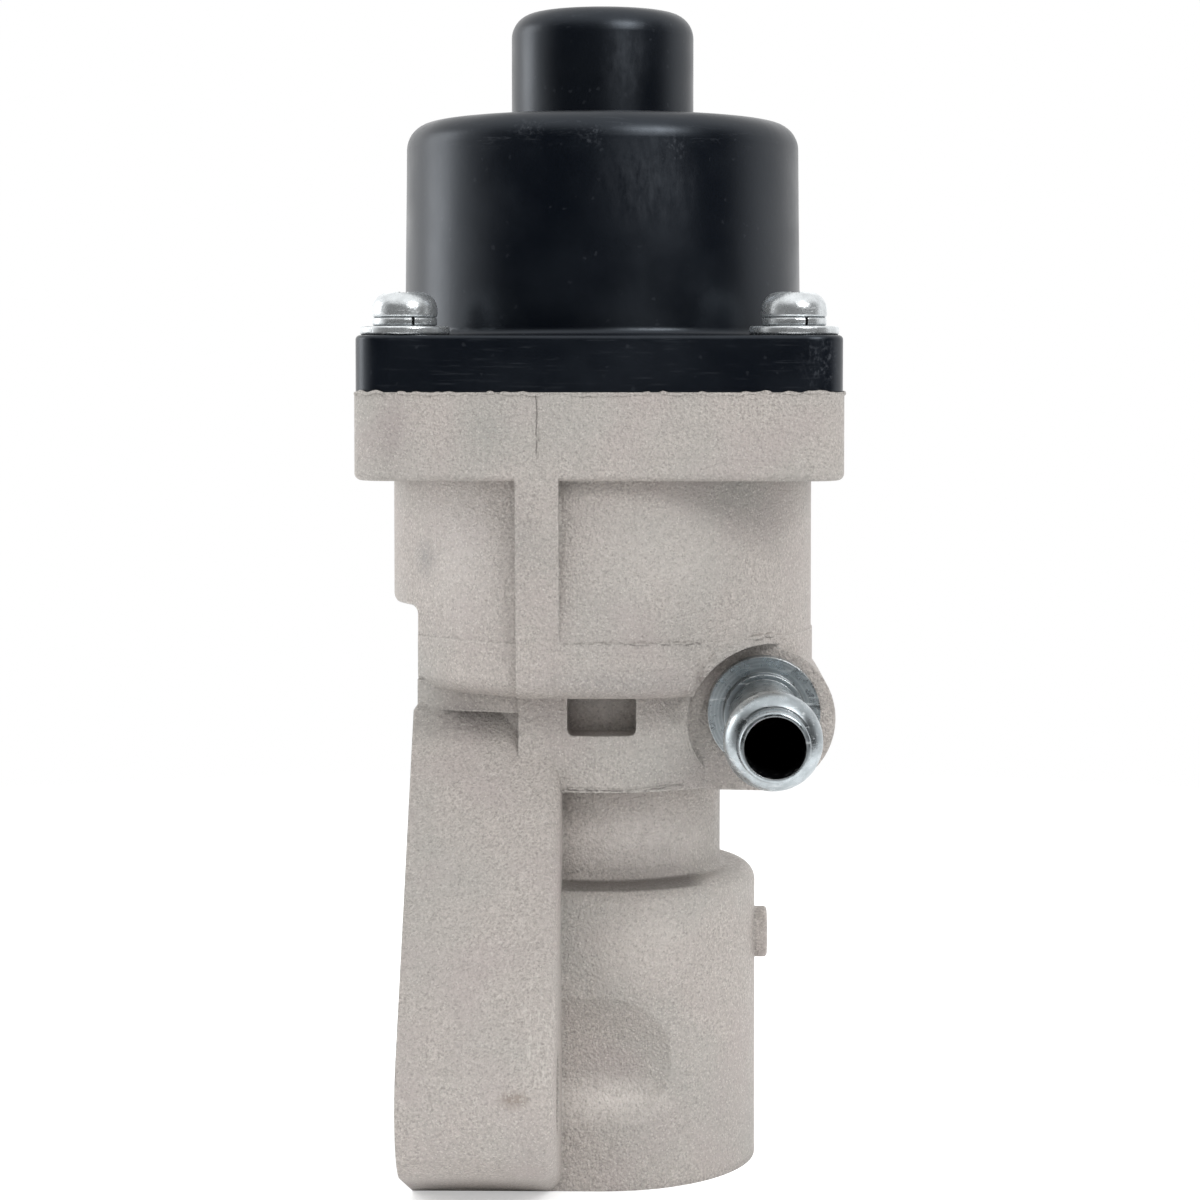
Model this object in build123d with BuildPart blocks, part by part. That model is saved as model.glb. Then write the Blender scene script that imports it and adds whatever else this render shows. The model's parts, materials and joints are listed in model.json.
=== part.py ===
"""Stepper-driven exhaust gas recirculation valve.

Z points up along the valve axis, and the origin is where that axis meets the machined base face.
The hose nipple points to -Y and the mounting flange faces -X. Lengths are in millimetres.
"""

import os
from math import hypot, radians, tan

from build123d import *

# ---- valve housing: the stack of round sections along the axis ----
chamber_radius = 18.15
chamber_height = 34.65
chamber_edge_radius = 2.0
neck_radius = 14.0
neck_height = 10.95
neck_fillet = 1.0
ring_radius = 18.7
ring_height = 11.1
body_inset = 2.4
body_height = 24.45
band_step = 0.15
band_height = 6.3
band_edge_radius = 2.4
flange_width = 54.3
flange_thickness = 9.75
flange_corner_radius = 4.0
flange_edge_radius = 0.8

# ---- valve housing: mounting flange, a thick slab that faces -X ----
mount_face_x = -21.35
slab_thickness = 17.0
slab_edge_radius = 2.0
mount_boss_radius = 9.15
mount_boss_y = 31.5
front_boss_z = 14.7
back_boss_z = 58.7
front_web_y = 14.7
back_web_y = 13.2
web_foot_z = 16.0
back_web_overlap = 5.0
mount_bolt_radius = 4.5
scoop_radius = 15.3
side_flat_inset = 0.4
side_flat_height = 9.6
side_flat_fillet = 0.9
side_step_radius = 1.3
ledge_height = 2.2
ledge_front_y = 17.6
ledge_side_y = 14.0

# ---- valve housing: rib, pocket, stub and nipple boss ----
rib_left = -9.2
rib_width = 4.8
rib_fade_z_gap = 18.6
pocket_width = 7.8
pocket_offset = 0.2
pocket_height = 4.7
pocket_depth = 5.5
pocket_corner_radius = 0.8
stub_radius = 3.0
stub_edge_radius = 0.4
stub_reach = 1.45
stub_z = 26.25
nipple_side_distance = 8.55
nipple_boss_radius = 8.25
nipple_boss_drop = 0.3
nipple_rise = 0.9
nipple_face_y = -14.3
nipple_boss_depth = 19.3
spotface_radius = 8.7

# ---- gas path ----
inlet_recess_radius = 15.0
inlet_recess_depth = 3.0
inlet_radius = 13.0
seat_z = 12.0
seat_height = 3.0
seat_throat_radius = 8.5
gas_chamber_radius = 11.5
gas_chamber_roof = 3.3
outlet_radius = 7.5
outlet_z = 23.0

# ---- coolant path ----
jacket_inner_radius = 13.5
jacket_outer_radius = 17.0
jacket_floor = 2.5
jacket_height = 14.5
coolant_port_radius = 3.5
coolant_port_rise = 3.5
coolant_drill_radius = 2.2
coolant_drill_y = -1.5

# ---- valve, guide and return spring ----
valve_travel = 5.0
stem_radius = 2.5
running_clearance = 0.05
seat_gap = 0.05
disc_radius = 9.8
disc_rim = 1.2
disc_height = 3.0
stem_end_length = 4.0
bush_radius = 4.2
bush_length = 16.0
shield_radius = 6.2
shield_wall = 0.6
shield_depth = 5.0
seal_radius = 6.0
seal_height = 3.0
spring_chamber_radius = 10.5
spring_floor_rise = 3.6
spring_seat_thickness = 0.8
spring_coil_radius = 7.6
spring_wire_radius = 0.75
spring_turns = 5.5
retainer_radius = 9.6
retainer_thickness = 1.2
spring_space = 19.5
clip_radius = 4.2
clip_thickness = 1.4
assembly_clearance = 0.05

# ---- motor ----
plate_thickness = 2.0
plate_guide_radius = 6.5
plate_guide_length = 8.0
plate_rim_height = 5.3
plate_rim_wall = 2.4
screw_shaft_radius = 3.0
shaft_flat_depth = 0.5
shaft_top_space = 6.4
shaft_tip_gap = 0.3
nut_radius = 6.2
nut_journal_radius = 4.0
bearing_outer_radius = 8.0
bearing_width = 4.0
bearing_ring_wall = 1.1
ball_count = 7
ball_gap = 0.06
magnet_radius = 9.5
magnet_end_gap = 1.0
air_gap = 0.4
yoke_wall = 1.0
claw_count = 6
claw_width = 3.2
claw_end_gap = 1.2
bobbin_wall = 0.8
bobbin_gap = 1.03
preload_washer_thickness = 0.4

# ---- motor cover ----
cover_inset = 0.15
cover_flange_thickness = 6.3
cover_corner_radius = 4.0
cover_edge_radius = 0.5
cap_inset = 3.75
cap_wall = 3.0
cap_draft = 0.68
cap_height = 25.1
cap_edge_radius = 3.1
cap_root_fillet = 0.9
cap_roof = 2.8
top_cap_radius = 10.75
top_cap_height = 13.0
top_cap_edge_radius = 2.9
top_cap_roof = 2.6
seal_section_radius = 0.9
seal_ring_gap = 1.8
seal_squeeze = 0.15

# ---- electrical socket on the cover ----
socket_width = 24.0
socket_height = 15.0
socket_corner_radius = 3.0
socket_wall = 1.8
socket_reach = 41.0
socket_depth = 13.0
socket_rise = 9.5
pin_columns = 3
pin_rows = 2
pin_pitch = 4.6
pin_row_pitch = 4.4
pin_width = 1.2
pin_thickness = 0.8
pin_stand = 6.5
latch_width = 6.0
latch_height = 1.6
latch_length = 5.0

# ---- cover screws, M4 pan head with a cross recess ----
screw_edge_distance = 5.5
screw_radius = 2.0
screw_length = 16.0
screw_head_radius = 3.65
screw_head_height = 2.8
screw_head_round = 2.0
screw_foot_round = 0.3
recess_width = 0.9
recess_length = 4.4
recess_depth = 1.5
thread_clearance = 0.06
tapped_hole_extra = 0.6
spring_washer_radius = 3.6
spring_washer_thickness = 1.0
spring_washer_gap = 0.3
spring_washer_split = -70
flat_washer_radius = 5.0
flat_washer_thickness = 1.0
washer_edge_round = 0.3
washer_bore_clearance = 0.2

# ---- hose nipple ----
collar_radius = 6.4
collar_length = 2.4
nipple_tube_radius = 4.0
nipple_bore_radius = 3.2
nipple_length = 32.0
bead_radius = 5.25
bead_length = 4.2
bead_tip_radius = 3.75
bead_tip_length = 3.2
bead_tip_round = 0.35
nipple_root_radius = 4.6
nipple_root_length = 2.0
nipple_seat_depth = 10.0

# ---- heights and places that follow from the sizes above ----
body_radius = flange_width / 2 - body_inset
cover_width = flange_width - 2 * cover_inset
cap_base_radius = flange_width / 2 - cap_inset
plate_radius = cap_base_radius - cap_wall
seal_ring_radius = plate_radius + seal_ring_gap
nipple_x = flange_width / 2 - nipple_side_distance
screw_spacing = flange_width - 2 * screw_edge_distance
ring_bottom = chamber_height + neck_height
body_bottom = ring_bottom + ring_height
flange_bottom = body_bottom + body_height
flange_top = flange_bottom + flange_thickness
cover_top = flange_top + cover_flange_thickness
cap_top = cover_top + cap_height
top_cap_top = cap_top + top_cap_height
gas_chamber_top = chamber_height - gas_chamber_roof
side_flat_top = body_bottom + side_flat_height
jacket_bottom = body_bottom + jacket_floor
coolant_port_z = body_bottom + coolant_port_rise
nipple_boss_z = ring_bottom - nipple_boss_drop + nipple_boss_radius
slab_top = body_bottom - ledge_height
nipple_z = nipple_boss_z + nipple_rise
spring_floor_z = ring_bottom + spring_floor_rise
retainer_z = spring_floor_z + spring_space
stem_top = retainer_z + stem_end_length
shaft_top = top_cap_top - top_cap_roof - shaft_top_space
socket_z = cover_top + socket_rise
slab_inner_x = mount_face_x + slab_thickness
side_flat_x = mount_face_x + side_flat_inset
rib_right = rib_left + rib_width
flange_front_y = -flange_width / 2
cap_top_radius = cap_base_radius - cap_height * tan(radians(cap_draft))
pattern_z = (front_boss_z + back_boss_z) / 2
screw_places = GridLocations(screw_spacing, screw_spacing, 2, 2).locations
plate_bottom = flange_top - plate_thickness
stator_bottom = flange_top + plate_rim_height
stator_top = cap_top - cap_roof
phase_height = (stator_top - stator_bottom) / 2
stator_bore_radius = magnet_radius + air_gap
cover_bore_radius = plate_radius + assembly_clearance
lower_bearing_z = flange_top
upper_bearing_z = stator_top + preload_washer_thickness
nut_bottom = lower_bearing_z + bearing_width
nut_top = stator_top
shaft_tip_z = stem_top + shaft_tip_gap
washer_stack = flat_washer_thickness + spring_washer_thickness
tapped_depth = screw_length - cover_flange_thickness - washer_stack + tapped_hole_extra
socket_floor_y = socket_reach - socket_depth
nipple_bottom_y = nipple_face_y + nipple_seat_depth


def slab_half(boss_y, boss_z, web_points):
    """Half of the mounting flange: a bolt boss joined by tangents to the web behind it, edges rounded."""
    with BuildPart() as half:
        with BuildSketch(Plane.YZ.offset(mount_face_x)):
            with Locations((boss_y, boss_z)):
                Circle(mount_boss_radius)
            with BuildLine():
                Polyline(*web_points, close=True)
            make_face()
            make_hull()
        extrude(amount=slab_thickness)
        fillet(half.edges().group_by(Axis.X)[-1], radius=slab_edge_radius)
    return half.part


def ring_at(z, height, outer, inner):
    """A plain ring about the valve axis, standing on height z."""
    with BuildPart() as ring:
        with BuildSketch(Plane.XY.offset(z)):
            Circle(outer)
            Circle(inner, mode=Mode.SUBTRACT)
        extrude(amount=height)
    return ring.part


# ================= valve housing =================

front_web = [(0, 0), (-chamber_radius, 0), (-front_web_y, slab_top), (0, slab_top)]
back_web = [(-back_web_overlap, web_foot_z), (back_web_y, web_foot_z),
            (back_web_y, side_flat_top), (-back_web_overlap, side_flat_top)]
with BuildPart() as mount_slab:
    add(slab_half(-mount_boss_y, front_boss_z, front_web))
    add(slab_half(mount_boss_y, back_boss_z, back_web))

with BuildPart() as gas_chamber:
    with BuildSketch():
        Circle(chamber_radius)
        Rectangle(-mount_face_x, 2 * chamber_radius, align=(Align.MAX, Align.CENTER))
    extrude(amount=chamber_height)
    fillet(gas_chamber.edges().group_by(Axis.Z)[-1], radius=chamber_edge_radius)
    with BuildSketch(Plane.XY.offset(chamber_height)):
        Circle(neck_radius)
    extrude(amount=neck_height)
    neck_root = gas_chamber.edges().filter_by(GeomType.CIRCLE).filter_by_position(
        Axis.Z, chamber_height, chamber_height)
    fillet(neck_root.sort_by(SortBy.RADIUS)[0], radius=neck_fillet)
    with BuildSketch(Plane.YZ.offset(chamber_radius - chamber_edge_radius)):
        with Locations((0, stub_z)):
            Circle(stub_radius)
    extrude(amount=chamber_edge_radius + stub_reach)
    fillet(gas_chamber.edges().group_by(Axis.X)[-1], radius=stub_edge_radius)

with BuildPart() as upper_body:
    with BuildSketch(Plane.XY.offset(body_bottom)):
        Circle(body_radius + band_step)
    extrude(amount=band_height)
    fillet(upper_body.edges().group_by(Axis.Z)[0], radius=band_edge_radius)
    chamfer(upper_body.edges().group_by(Axis.Z)[-1], length=band_step / 2)
    with BuildSketch(Plane.XY.offset(body_bottom + band_height)):
        Circle(body_radius)
    extrude(amount=body_height - band_height)
    with BuildSketch(Plane.YZ.offset(rib_left)):
        # its front fades into the body at the rib's right side, where the two are level
        rib_foot_y = -(body_radius**2 - rib_right**2) ** 0.5
        rib_foot_z = body_bottom + band_edge_radius
        with BuildLine():
            Polyline(
                (rib_foot_y + band_edge_radius, body_bottom),
                (0, body_bottom),
                (0, flange_bottom + flange_edge_radius),
                (flange_front_y, flange_bottom + flange_edge_radius),
                (rib_foot_y, flange_bottom - rib_fade_z_gap),
                (rib_foot_y, rib_foot_z),
            )
            JernArc((rib_foot_y, rib_foot_z), (0, -1), band_edge_radius, 90)
        make_face()
    extrude(amount=rib_width)

with BuildPart() as top_flange:
    with BuildSketch(Plane.XY.offset(flange_bottom)):
        RectangleRounded(flange_width, flange_width, flange_corner_radius)
    extrude(amount=flange_thickness)
    fillet(top_flange.edges().group_by(Axis.Z)[0], radius=flange_edge_radius)

with BuildPart() as nipple_boss:
    with BuildSketch(Plane.XZ.offset(-nipple_face_y)):
        with Locations((nipple_x, nipple_boss_z)):
            Circle(nipple_boss_radius)
        with BuildLine():
            Polyline(
                (0, ring_bottom),
                (nipple_x, ring_bottom - nipple_boss_drop),
                (nipple_x, body_bottom),
                (0, body_bottom),
                close=True,
            )
        make_face()
    extrude(amount=-nipple_boss_depth)

with BuildPart() as valve_housing:
    with BuildSketch(Plane.XY.offset(ring_bottom)):
        Circle(ring_radius)
    extrude(amount=ring_height)
    # the rib's root runs on below the body, over the ring and down to the slab
    with BuildSketch(Plane.XY.offset(ring_bottom)):
        root_depth = (ring_radius**2 - rib_right**2) ** 0.5
        with Locations((rib_left, -root_depth)):
            Rectangle(rib_width, root_depth, align=(Align.MIN, Align.MIN))
    extrude(amount=ring_height)
    add(upper_body.part)
    add(top_flange.part)
    add(gas_chamber.part)
    add(nipple_boss.part)
    # the body's side is cut flat above the mounting face, with a rounded step
    with BuildSketch(Plane.XZ):
        outside_x = -body_radius - side_step_radius
        with BuildLine():
            JernArc((side_flat_x, side_flat_top - side_flat_fillet), (0, 1), side_flat_fillet, 90)
            Line((side_flat_x - side_flat_fillet, side_flat_top),
                 (-body_radius + side_step_radius, side_flat_top))
            JernArc((-body_radius + side_step_radius, side_flat_top), (-1, 0), side_step_radius, -90)
            Polyline(
                (-body_radius, side_flat_top + side_step_radius),
                (outside_x, side_flat_top + side_step_radius),
                (outside_x, ring_bottom),
                (side_flat_x, ring_bottom),
                (side_flat_x, side_flat_top - side_flat_fillet),
            )
        make_face()
    extrude(amount=body_radius, both=True, mode=Mode.SUBTRACT)
    add(mount_slab.part)
    # a low ledge where the slab meets the body
    with BuildSketch(Plane.XY.offset(slab_top)):
        with BuildLine():
            Polyline(
                (rib_left, 0),
                (rib_left, -ledge_front_y),
                (side_flat_x, -ledge_side_y),
                (side_flat_x, 0),
                close=True,
            )
        make_face()
    extrude(amount=ledge_height + band_edge_radius / 2)
    # spotface round the nipple boss, which bites into the body above it
    with BuildSketch(Plane.XZ.offset(-nipple_face_y)):
        with Locations((nipple_x, nipple_boss_z)):
            Circle(spotface_radius)
    extrude(amount=flange_width / 2, mode=Mode.SUBTRACT)
    # pocket in the front of the ring, closed above by the body
    with BuildSketch(Plane.XZ.offset(ring_radius - pocket_depth)) as pocket:
        with Locations((pocket_offset, body_bottom)):
            Rectangle(pocket_width, pocket_height, align=(Align.CENTER, Align.MAX))
        fillet(pocket.vertices().group_by(Axis.Z)[0], radius=pocket_corner_radius)
    extrude(amount=pocket_depth + band_step, mode=Mode.SUBTRACT)
    # clearance scoop for the socket of the front mounting bolt
    with BuildSketch(Plane.YZ.offset(slab_inner_x)):
        with Locations((-mount_boss_y, front_boss_z)):
            Circle(scoop_radius)
    extrude(amount=-slab_inner_x + chamber_radius, mode=Mode.SUBTRACT)
    # mounting bolt holes
    with BuildSketch(Plane.YZ.offset(mount_face_x)):
        with Locations((-mount_boss_y, front_boss_z), (mount_boss_y, back_boss_z)):
            Circle(mount_bolt_radius)
    extrude(amount=slab_thickness, mode=Mode.SUBTRACT)
    # gas path: recess, inlet and seat bore, chamber, guide bore, spring chamber and motor bore
    for bottom, top, radius in (
        (0, inlet_recess_depth, inlet_recess_radius),
        (0, seat_z + seat_height, inlet_radius),
        (seat_z, gas_chamber_top, gas_chamber_radius),
        (gas_chamber_top, spring_floor_z, bush_radius),
        (spring_floor_z - seal_height, spring_floor_z, seal_radius),
        (spring_floor_z, plate_bottom, spring_chamber_radius),
        (plate_bottom, flange_top, plate_radius + assembly_clearance),
    ):
        with BuildSketch(Plane.XY.offset(bottom)):
            Circle(radius)
        extrude(amount=top - bottom, mode=Mode.SUBTRACT)
    with BuildSketch(Plane.YZ.offset(mount_face_x)):
        with Locations((0, outlet_z)):
            Circle(outlet_radius)
    extrude(amount=-mount_face_x, mode=Mode.SUBTRACT)
    # coolant path: ring-shaped jacket, port to the mounting face, drillings to the nipple
    with BuildSketch(Plane.XY.offset(jacket_bottom)):
        Circle(jacket_outer_radius)
        Circle(jacket_inner_radius, mode=Mode.SUBTRACT)
    extrude(amount=jacket_height, mode=Mode.SUBTRACT)
    with BuildSketch(Plane.YZ.offset(mount_face_x)):
        with Locations((0, coolant_port_z)):
            Circle(coolant_port_radius)
    extrude(amount=-mount_face_x - jacket_inner_radius, mode=Mode.SUBTRACT)
    with BuildSketch(Plane.XZ.offset(-nipple_face_y)):
        with Locations((nipple_x, nipple_z)):
            Circle(nipple_root_radius)
    extrude(amount=-nipple_seat_depth, mode=Mode.SUBTRACT)
    with BuildSketch(Plane.XZ.offset(-nipple_bottom_y)):
        with Locations((nipple_x, nipple_z)):
            Circle(nipple_bore_radius)
    extrude(amount=nipple_bottom_y - coolant_drill_radius, mode=Mode.SUBTRACT)
    with BuildSketch(Plane.XY.offset(nipple_z)):
        with Locations((nipple_x - nipple_bore_radius, coolant_drill_y)):
            Circle(coolant_drill_radius)
    extrude(amount=jacket_bottom - nipple_z + coolant_drill_radius, mode=Mode.SUBTRACT)
    # tapped holes for the cover screws and the groove for the cover seal
    with BuildSketch(Plane.XY.offset(flange_top)):
        with Locations(*screw_places):
            Circle(screw_radius + thread_clearance)
    extrude(amount=-tapped_depth, mode=Mode.SUBTRACT)
    with BuildSketch(Plane.XY.offset(flange_top)):
        Circle(seal_ring_radius + seal_section_radius)
        Circle(seal_ring_radius - seal_section_radius, mode=Mode.SUBTRACT)
    extrude(amount=-2 * seal_section_radius, mode=Mode.SUBTRACT)

# ================= valve, seat, guide and spring =================

with BuildPart() as valve_seat:
    with BuildSketch(Plane.XZ):
        seat_lip = disc_radius - seat_throat_radius
        with BuildLine():
            Polyline(
                (seat_throat_radius, seat_z + seat_lip / 2),
                (seat_throat_radius, seat_z + seat_height),
                (inlet_radius, seat_z + seat_height),
                (inlet_radius, seat_z),
                (disc_radius, seat_z),
                close=True,
            )
        make_face()
    revolve(axis=Axis.Z)

with BuildPart() as valve_disc:
    with BuildSketch(Plane.XZ):
        cone_radius = seat_throat_radius - seat_gap
        with BuildLine():
            Polyline(
                (stem_radius, seat_z - disc_height),
                (disc_radius - disc_rim, seat_z - disc_height),
                (disc_radius, seat_z - disc_height + disc_rim),
                (disc_radius, seat_z - seat_gap),
                (cone_radius, seat_z - seat_gap),
                (stem_radius + disc_rim, seat_z + disc_rim),
                (stem_radius, seat_z + disc_rim),
                close=True,
            )
        make_face()
    revolve(axis=Axis.Z)

with BuildPart() as valve_stem:
    with BuildSketch(Plane.XY.offset(seat_z - disc_height)):
        Circle(stem_radius)
    extrude(amount=stem_top - seat_z + disc_height)
    chamfer(valve_stem.edges().group_by(Axis.Z)[-1], length=stem_radius / 5)
    clip_groove = ring_at(retainer_z + retainer_thickness, clip_thickness,
                          2 * stem_radius, stem_radius - stem_radius / 6)
    add(clip_groove, mode=Mode.SUBTRACT)

bush_top = spring_floor_z - seal_height
with BuildPart() as guide_bush:
    add(ring_at(bush_top - bush_length, bush_length, bush_radius, stem_radius + running_clearance))
    chamfer(guide_bush.edges().group_by(Axis.Z)[0], length=stem_radius / 6)

# stamped cup that hangs round the lower end of the bush and keeps soot off it
with BuildPart() as stem_shield:
    with BuildSketch(Plane.XZ):
        with BuildLine():
            Polyline(
                (bush_radius, gas_chamber_top),
                (bush_radius, gas_chamber_top - shield_wall),
                (shield_radius - shield_wall, gas_chamber_top - shield_wall),
                (shield_radius - shield_wall, gas_chamber_top - shield_depth),
                (shield_radius, gas_chamber_top - shield_depth),
                (shield_radius, gas_chamber_top),
                close=True,
            )
        make_face()
    revolve(axis=Axis.Z)

with BuildPart() as stem_seal:
    with BuildSketch(Plane.XZ):
        lip = stem_radius + running_clearance
        with BuildLine():
            Polyline(
                (lip, bush_top + seal_height / 3),
                (lip, bush_top + seal_height / 2),
                (lip + shield_wall, bush_top + seal_height),
                (seal_radius, bush_top + seal_height),
                (seal_radius, bush_top),
                (lip + shield_wall, bush_top),
                close=True,
            )
        make_face()
    revolve(axis=Axis.Z)

spring_seat_radius = spring_chamber_radius - assembly_clearance
with BuildPart() as lower_spring_seat:
    add(ring_at(spring_floor_z, spring_seat_thickness, spring_seat_radius,
                stem_radius + shield_wall))
    seat_collar_radius = spring_coil_radius - spring_wire_radius - 2 * assembly_clearance
    add(ring_at(spring_floor_z, 2 * spring_seat_thickness, seat_collar_radius,
                seat_collar_radius - spring_seat_thickness))

spring_bottom = spring_floor_z + spring_seat_thickness + spring_wire_radius + assembly_clearance
spring_rise = retainer_z - assembly_clearance - spring_wire_radius - spring_bottom
with BuildPart() as return_spring:
    with BuildLine() as coil:
        Helix(spring_rise / spring_turns, spring_rise, spring_coil_radius, center=(0, 0, spring_bottom))
    with BuildSketch(Plane(origin=coil.line @ 0, z_dir=coil.line % 0)):
        Circle(spring_wire_radius)
    sweep(is_frenet=True)

with BuildPart() as spring_retainer:
    add(ring_at(retainer_z, retainer_thickness, retainer_radius, stem_radius))
    guide_ring_radius = spring_coil_radius - spring_wire_radius - 2 * assembly_clearance
    add(ring_at(retainer_z - retainer_thickness, retainer_thickness, guide_ring_radius,
                guide_ring_radius - retainer_thickness))

with BuildPart() as retaining_clip:
    add(ring_at(retainer_z + retainer_thickness, clip_thickness, clip_radius,
                stem_radius - stem_radius / 6))
    with BuildSketch(Plane.XY.offset(retainer_z + retainer_thickness)):
        with Locations((clip_radius, 0)):
            Rectangle(2 * clip_radius, stem_radius)
    extrude(amount=clip_thickness, mode=Mode.SUBTRACT)

# ================= motor =================

with BuildPart() as motor_front_plate:
    with BuildSketch(Plane.XZ):
        rim_inner = plate_radius - plate_rim_wall
        pocket_radius = bearing_outer_radius + assembly_clearance
        pocket_rim = pocket_radius + plate_rim_wall / 2
        guide_bore = nut_journal_radius
        with BuildLine():
            Polyline(
                (guide_bore, plate_bottom),
                (plate_radius, plate_bottom),
                (plate_radius, stator_bottom),
                (rim_inner, stator_bottom),
                (rim_inner, flange_top),
                (pocket_rim, flange_top),
                (pocket_rim, flange_top + bearing_width),
                (pocket_radius, flange_top + bearing_width),
                (pocket_radius, flange_top),
                (guide_bore, flange_top),
                close=True,
            )
        make_face()
    revolve(axis=Axis.Z)
    # guide below the plate, whose D-shaped bore keeps the lead screw from turning
    with BuildSketch(Plane.XY.offset(plate_bottom - plate_guide_length)):
        Circle(plate_guide_radius)
    extrude(amount=plate_guide_length + plate_thickness)
    with BuildSketch(Plane.XY.offset(plate_bottom - plate_guide_length)):
        Circle(screw_shaft_radius + running_clearance)
        flat_gap = screw_shaft_radius - shaft_flat_depth + running_clearance
        for flat_y, keep in ((flat_gap, Align.MIN), (-flat_gap, Align.MAX)):
            with Locations((0, flat_y)):
                Rectangle(2 * plate_guide_radius, plate_guide_radius, mode=Mode.SUBTRACT,
                          align=(Align.CENTER, keep))
    extrude(amount=plate_guide_length + plate_thickness, mode=Mode.SUBTRACT)

with BuildPart() as motor_shaft:
    with BuildSketch(Plane.XY.offset(shaft_tip_z)):
        Circle(screw_shaft_radius)
    extrude(amount=shaft_top - shaft_tip_z)
    chamfer(motor_shaft.edges().group_by(Axis.Z)[0], length=shaft_flat_depth)
    chamfer(motor_shaft.edges().group_by(Axis.Z)[-1], length=shaft_flat_depth)
    flats_top = nut_bottom - bearing_width + valve_travel
    flat_depth_y = screw_shaft_radius - shaft_flat_depth
    with BuildSketch(Plane.XY.offset(shaft_tip_z)):
        for flat_y, keep in ((flat_depth_y, Align.MIN), (-flat_depth_y, Align.MAX)):
            with Locations((0, flat_y)):
                Rectangle(4 * screw_shaft_radius, screw_shaft_radius, align=(Align.CENTER, keep))
    extrude(amount=flats_top - shaft_tip_z, mode=Mode.SUBTRACT)

with BuildPart() as rotor_nut:
    journal_bottom = lower_bearing_z + running_clearance
    journal_top = upper_bearing_z + bearing_width
    with BuildSketch(Plane.XZ):
        bore = screw_shaft_radius + running_clearance
        with BuildLine():
            Polyline(
                (bore, journal_bottom),
                (nut_journal_radius, journal_bottom),
                (nut_journal_radius, nut_bottom),
                (nut_radius, nut_bottom),
                (nut_radius, nut_top),
                (nut_journal_radius, nut_top),
                (nut_journal_radius, journal_top),
                (bore, journal_top),
                close=True,
            )
        make_face()
    revolve(axis=Axis.Z)

magnet_z = nut_bottom + magnet_end_gap
rotor_magnet = ring_at(magnet_z, nut_top - magnet_end_gap - magnet_z, magnet_radius, nut_radius)


def bearing(z):
    """A small ball bearing standing on height z: its outer ring, inner ring and balls."""
    ring_inner = bearing_outer_radius - bearing_ring_wall
    race_outer = nut_journal_radius + bearing_ring_wall
    outer_ring = ring_at(z, bearing_width, bearing_outer_radius, ring_inner)
    inner_ring = ring_at(z, bearing_width, race_outer, nut_journal_radius)
    with BuildPart() as balls:
        with Locations(Plane.XY.offset(z + bearing_width / 2)):
            with PolarLocations((ring_inner + race_outer) / 2, ball_count):
                Sphere((ring_inner - race_outer) / 2 - ball_gap)
    return outer_ring, inner_ring, balls.part


lower_bearing = bearing(lower_bearing_z)
upper_bearing = bearing(upper_bearing_z)

preload_outer = bearing_outer_radius - assembly_clearance
bearing_preload_washer = ring_at(stator_top, preload_washer_thickness, preload_outer,
                                 nut_radius + assembly_clearance)


def yoke(z, up, turn):
    """Half of one phase's steel shell: can wall, end plate and claws that point up (1) or down (-1)."""
    half = phase_height / 2
    plate_z = z if up > 0 else z + half - yoke_wall
    with BuildPart() as shell:
        add(ring_at(z, half, plate_radius, plate_radius - yoke_wall))
        add(ring_at(plate_z, yoke_wall, plate_radius, stator_bore_radius))
        claw_z = plate_z if up > 0 else plate_z + yoke_wall
        claw_reach = phase_height - claw_end_gap
        with BuildSketch(Plane.XY.offset(claw_z)):
            with PolarLocations(stator_bore_radius, claw_count, start_angle=turn):
                Rectangle(2 * yoke_wall, claw_width)
            Circle(stator_bore_radius, mode=Mode.SUBTRACT)
        extrude(amount=up * claw_reach)
    return shell.part


def phase(z):
    """One phase of the stator standing on height z: lower yoke, upper yoke, bobbin and winding."""
    half = phase_height / 2
    lower_yoke = yoke(z, 1, 0)
    upper_yoke = yoke(z + half, -1, 180 / claw_count)
    coil_bottom = z + yoke_wall
    coil_height = phase_height - 2 * yoke_wall
    bobbin_inner = hypot(stator_bore_radius + yoke_wall, claw_width / 2) + assembly_clearance
    drum_radius = bobbin_inner + bobbin_wall
    bobbin_outer = plate_radius - yoke_wall - bobbin_gap
    with BuildPart() as bobbin:
        add(ring_at(coil_bottom, coil_height, drum_radius, bobbin_inner))
        add(ring_at(coil_bottom, bobbin_wall, bobbin_outer, bobbin_inner))
        add(ring_at(coil_bottom + coil_height - bobbin_wall, bobbin_wall, bobbin_outer, bobbin_inner))
    winding = ring_at(coil_bottom + bobbin_wall, coil_height - 2 * bobbin_wall,
                      bobbin_outer - bobbin_wall, drum_radius)
    return lower_yoke, upper_yoke, bobbin.part, winding


lower_phase = phase(stator_bottom)
upper_phase = phase(stator_bottom + phase_height)

# ================= motor cover =================

pin_places = GridLocations(pin_pitch, pin_row_pitch, pin_columns, pin_rows).locations
socket_plane = Plane(origin=(0, socket_floor_y, socket_z), x_dir=(1, 0, 0), z_dir=(0, 1, 0))
pin_inner_y = cover_bore_radius
pin_plane = Plane(origin=(0, pin_inner_y, socket_z), x_dir=(1, 0, 0), z_dir=(0, 1, 0))

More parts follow.
